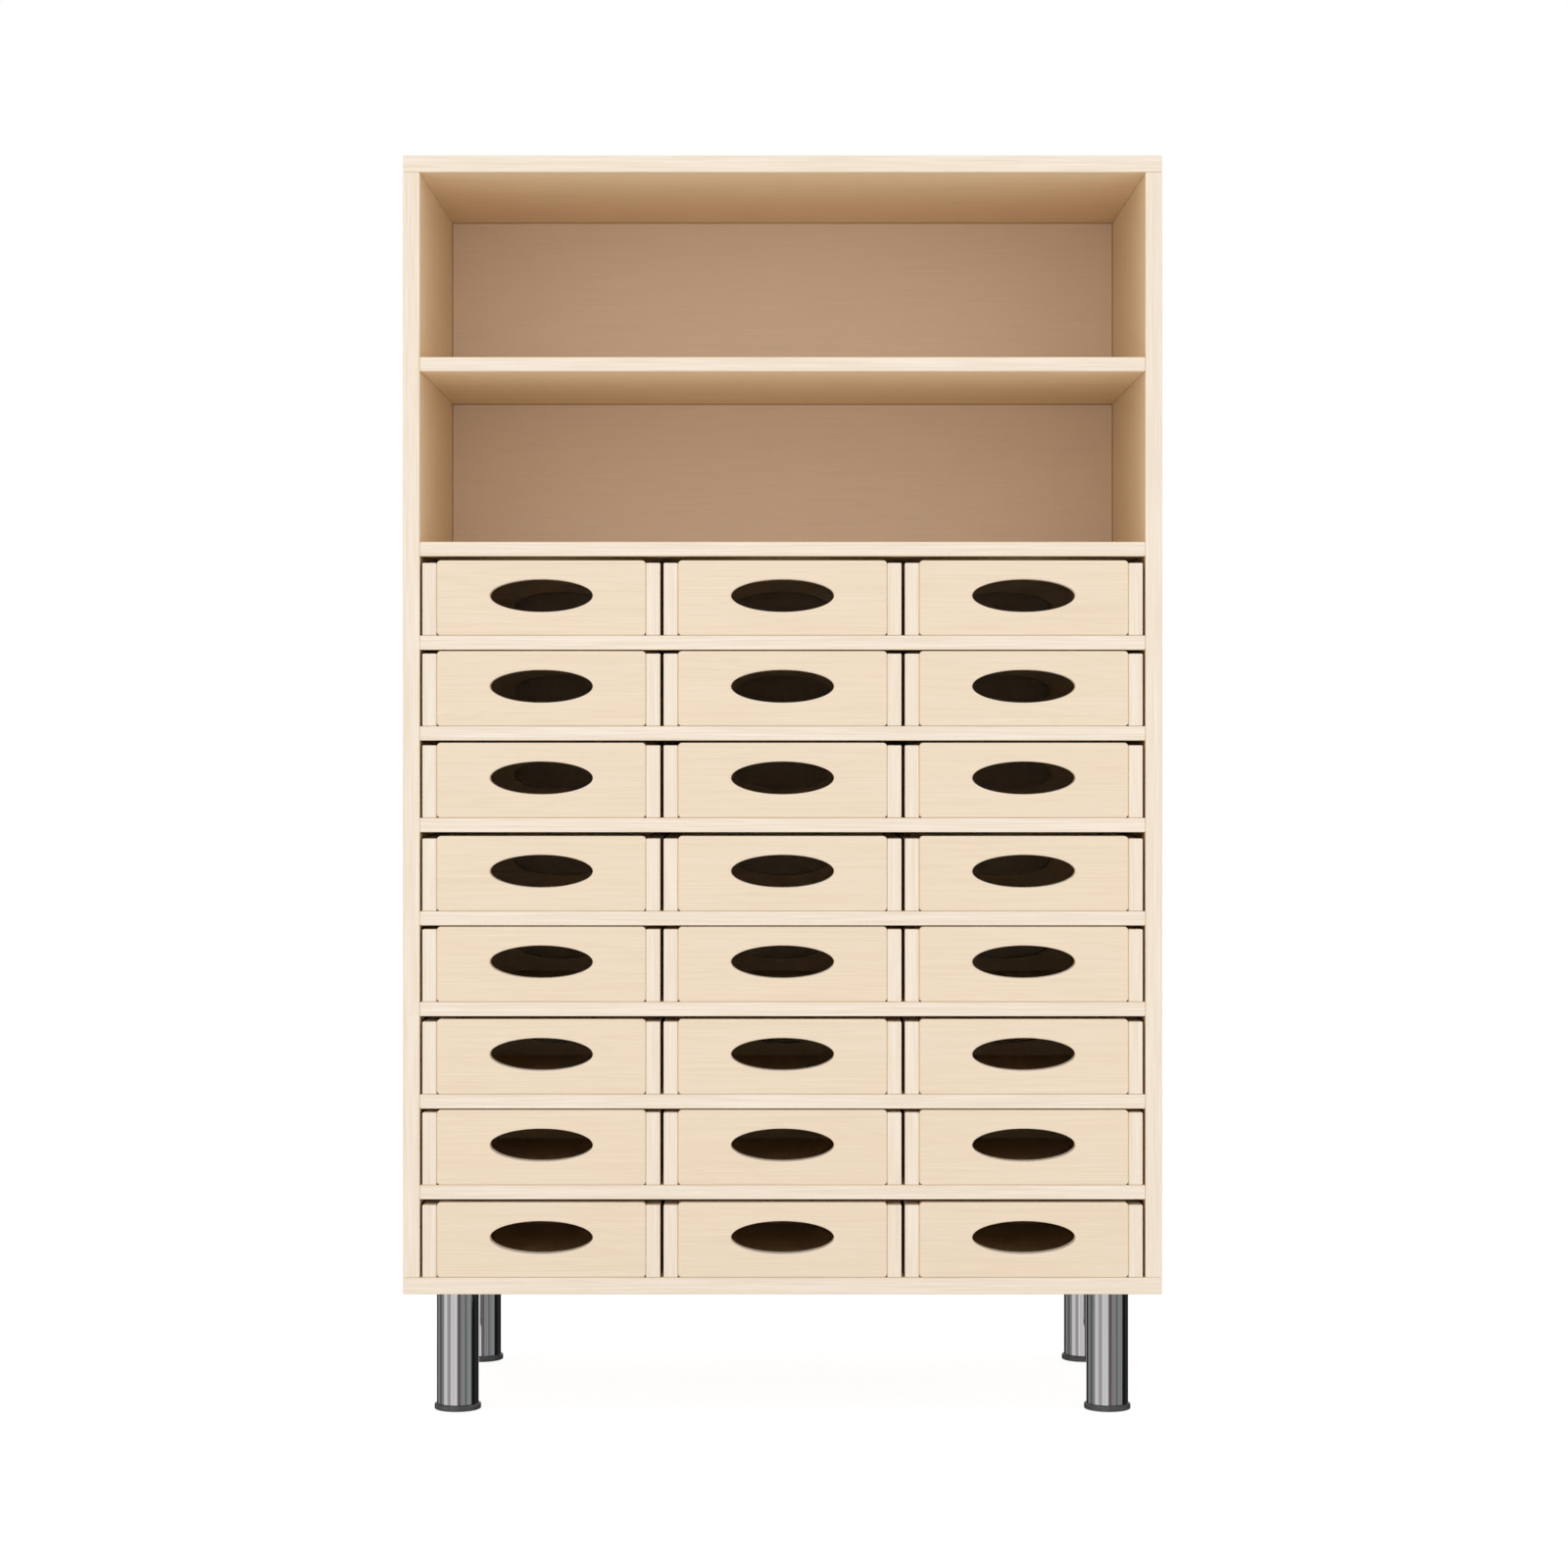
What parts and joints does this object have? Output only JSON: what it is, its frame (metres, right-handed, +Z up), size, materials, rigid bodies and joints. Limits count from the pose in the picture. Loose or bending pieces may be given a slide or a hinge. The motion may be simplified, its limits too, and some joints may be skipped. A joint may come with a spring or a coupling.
{
  "type": "tray storage cabinet",
  "caption": "Upright wooden cabinet on tube legs, with two open bays above rows of wooden trays that slide on shelves and have oval hand holes.",
  "frame": {"origin": "on the floor, under the middle of the cabinet's box", "axes": "+Z up, +Y to the back, +X to the right seen from the front; the trays pull out along -Y"},
  "size_m": [0.9, 0.4, 1.492],
  "materials": {
    "cabinet_wood": "pale fine-grained wood, clear matt lacquer",
    "tray_wood": "pale fine-grained wood, clear matt lacquer",
    "back_panel_wood": "pale plywood, clear matt lacquer",
    "dowel_wood": "plain beech, unfinished",
    "leg_metal": "polished chrome plate on steel",
    "foot_plastic": "dark grey moulded plastic, matt",
    "screw_steel": "zinc-plated steel"
  },
  "bodies": {
    "cabinet": {"top_panel": "cabinet_wood", "bottom_panel": "cabinet_wood", "side_panel_left": "cabinet_wood", "side_panel_right": "cabinet_wood", "back_panel": "back_panel_wood", "upper_bay_shelf": "cabinet_wood", "lower_bay_shelf": "cabinet_wood", "tray_shelf_1": "cabinet_wood", "tray_shelf_2": "cabinet_wood", "tray_shelf_3": "cabinet_wood", "tray_shelf_4": "cabinet_wood", "tray_shelf_5": "cabinet_wood", "tray_shelf_6": "cabinet_wood", "tray_shelf_7": "cabinet_wood", "leg_plate_front_left": "leg_metal", "leg_plate_front_right": "leg_metal", "leg_plate_back_left": "leg_metal", "leg_plate_back_right": "leg_metal", "leg_tube_front_left": "leg_metal", "leg_tube_front_right": "leg_metal", "leg_tube_back_left": "leg_metal", "leg_tube_back_right": "leg_metal", "leg_foot_front_left": "foot_plastic", "leg_foot_front_right": "foot_plastic", "leg_foot_back_left": "foot_plastic", "leg_foot_back_right": "foot_plastic", "leg_screws": "screw_steel", "back_screws": "screw_steel", "shelf_dowels": "dowel_wood", "carcass_dowels": "dowel_wood"},
    "tray_1_left": {"tray_1_left": "tray_wood"},
    "tray_1_middle": {"tray_1_middle": "tray_wood"},
    "tray_1_right": {"tray_1_right": "tray_wood"},
    "tray_2_left": {"tray_2_left": "tray_wood"},
    "tray_2_middle": {"tray_2_middle": "tray_wood"},
    "tray_2_right": {"tray_2_right": "tray_wood"},
    "tray_3_left": {"tray_3_left": "tray_wood"},
    "tray_3_middle": {"tray_3_middle": "tray_wood"},
    "tray_3_right": {"tray_3_right": "tray_wood"},
    "tray_4_left": {"tray_4_left": "tray_wood"},
    "tray_4_middle": {"tray_4_middle": "tray_wood"},
    "tray_4_right": {"tray_4_right": "tray_wood"},
    "tray_5_left": {"tray_5_left": "tray_wood"},
    "tray_5_middle": {"tray_5_middle": "tray_wood"},
    "tray_5_right": {"tray_5_right": "tray_wood"},
    "tray_6_left": {"tray_6_left": "tray_wood"},
    "tray_6_middle": {"tray_6_middle": "tray_wood"},
    "tray_6_right": {"tray_6_right": "tray_wood"},
    "tray_7_left": {"tray_7_left": "tray_wood"},
    "tray_7_middle": {"tray_7_middle": "tray_wood"},
    "tray_7_right": {"tray_7_right": "tray_wood"},
    "tray_8_left": {"tray_8_left": "tray_wood"},
    "tray_8_middle": {"tray_8_middle": "tray_wood"},
    "tray_8_right": {"tray_8_right": "tray_wood"}
  },
  "joints": [
    {"name": "tray_1_left_slide", "type": "slide", "parent": "cabinet", "child": "tray_1_left", "axis": [0, -1, 0], "range_m": [0, 0.4]},
    {"name": "tray_1_middle_slide", "type": "slide", "parent": "cabinet", "child": "tray_1_middle", "axis": [0, -1, 0], "range_m": [0, 0.4]},
    {"name": "tray_1_right_slide", "type": "slide", "parent": "cabinet", "child": "tray_1_right", "axis": [0, -1, 0], "range_m": [0, 0.4]},
    {"name": "tray_2_left_slide", "type": "slide", "parent": "cabinet", "child": "tray_2_left", "axis": [0, -1, 0], "range_m": [0, 0.4]},
    {"name": "tray_2_middle_slide", "type": "slide", "parent": "cabinet", "child": "tray_2_middle", "axis": [0, -1, 0], "range_m": [0, 0.4]},
    {"name": "tray_2_right_slide", "type": "slide", "parent": "cabinet", "child": "tray_2_right", "axis": [0, -1, 0], "range_m": [0, 0.4]},
    {"name": "tray_3_left_slide", "type": "slide", "parent": "cabinet", "child": "tray_3_left", "axis": [0, -1, 0], "range_m": [0, 0.4]},
    {"name": "tray_3_middle_slide", "type": "slide", "parent": "cabinet", "child": "tray_3_middle", "axis": [0, -1, 0], "range_m": [0, 0.4]},
    {"name": "tray_3_right_slide", "type": "slide", "parent": "cabinet", "child": "tray_3_right", "axis": [0, -1, 0], "range_m": [0, 0.4]},
    {"name": "tray_4_left_slide", "type": "slide", "parent": "cabinet", "child": "tray_4_left", "axis": [0, -1, 0], "range_m": [0, 0.4]},
    {"name": "tray_4_middle_slide", "type": "slide", "parent": "cabinet", "child": "tray_4_middle", "axis": [0, -1, 0], "range_m": [0, 0.4]},
    {"name": "tray_4_right_slide", "type": "slide", "parent": "cabinet", "child": "tray_4_right", "axis": [0, -1, 0], "range_m": [0, 0.4]},
    {"name": "tray_5_left_slide", "type": "slide", "parent": "cabinet", "child": "tray_5_left", "axis": [0, -1, 0], "range_m": [0, 0.4]},
    {"name": "tray_5_middle_slide", "type": "slide", "parent": "cabinet", "child": "tray_5_middle", "axis": [0, -1, 0], "range_m": [0, 0.4]},
    {"name": "tray_5_right_slide", "type": "slide", "parent": "cabinet", "child": "tray_5_right", "axis": [0, -1, 0], "range_m": [0, 0.4]},
    {"name": "tray_6_left_slide", "type": "slide", "parent": "cabinet", "child": "tray_6_left", "axis": [0, -1, 0], "range_m": [0, 0.4]},
    {"name": "tray_6_middle_slide", "type": "slide", "parent": "cabinet", "child": "tray_6_middle", "axis": [0, -1, 0], "range_m": [0, 0.4]},
    {"name": "tray_6_right_slide", "type": "slide", "parent": "cabinet", "child": "tray_6_right", "axis": [0, -1, 0], "range_m": [0, 0.4]},
    {"name": "tray_7_left_slide", "type": "slide", "parent": "cabinet", "child": "tray_7_left", "axis": [0, -1, 0], "range_m": [0, 0.4]},
    {"name": "tray_7_middle_slide", "type": "slide", "parent": "cabinet", "child": "tray_7_middle", "axis": [0, -1, 0], "range_m": [0, 0.4]},
    {"name": "tray_7_right_slide", "type": "slide", "parent": "cabinet", "child": "tray_7_right", "axis": [0, -1, 0], "range_m": [0, 0.4]},
    {"name": "tray_8_left_slide", "type": "slide", "parent": "cabinet", "child": "tray_8_left", "axis": [0, -1, 0], "range_m": [0, 0.4]},
    {"name": "tray_8_middle_slide", "type": "slide", "parent": "cabinet", "child": "tray_8_middle", "axis": [0, -1, 0], "range_m": [0, 0.4]},
    {"name": "tray_8_right_slide", "type": "slide", "parent": "cabinet", "child": "tray_8_right", "axis": [0, -1, 0], "range_m": [0, 0.4]}
  ]
}
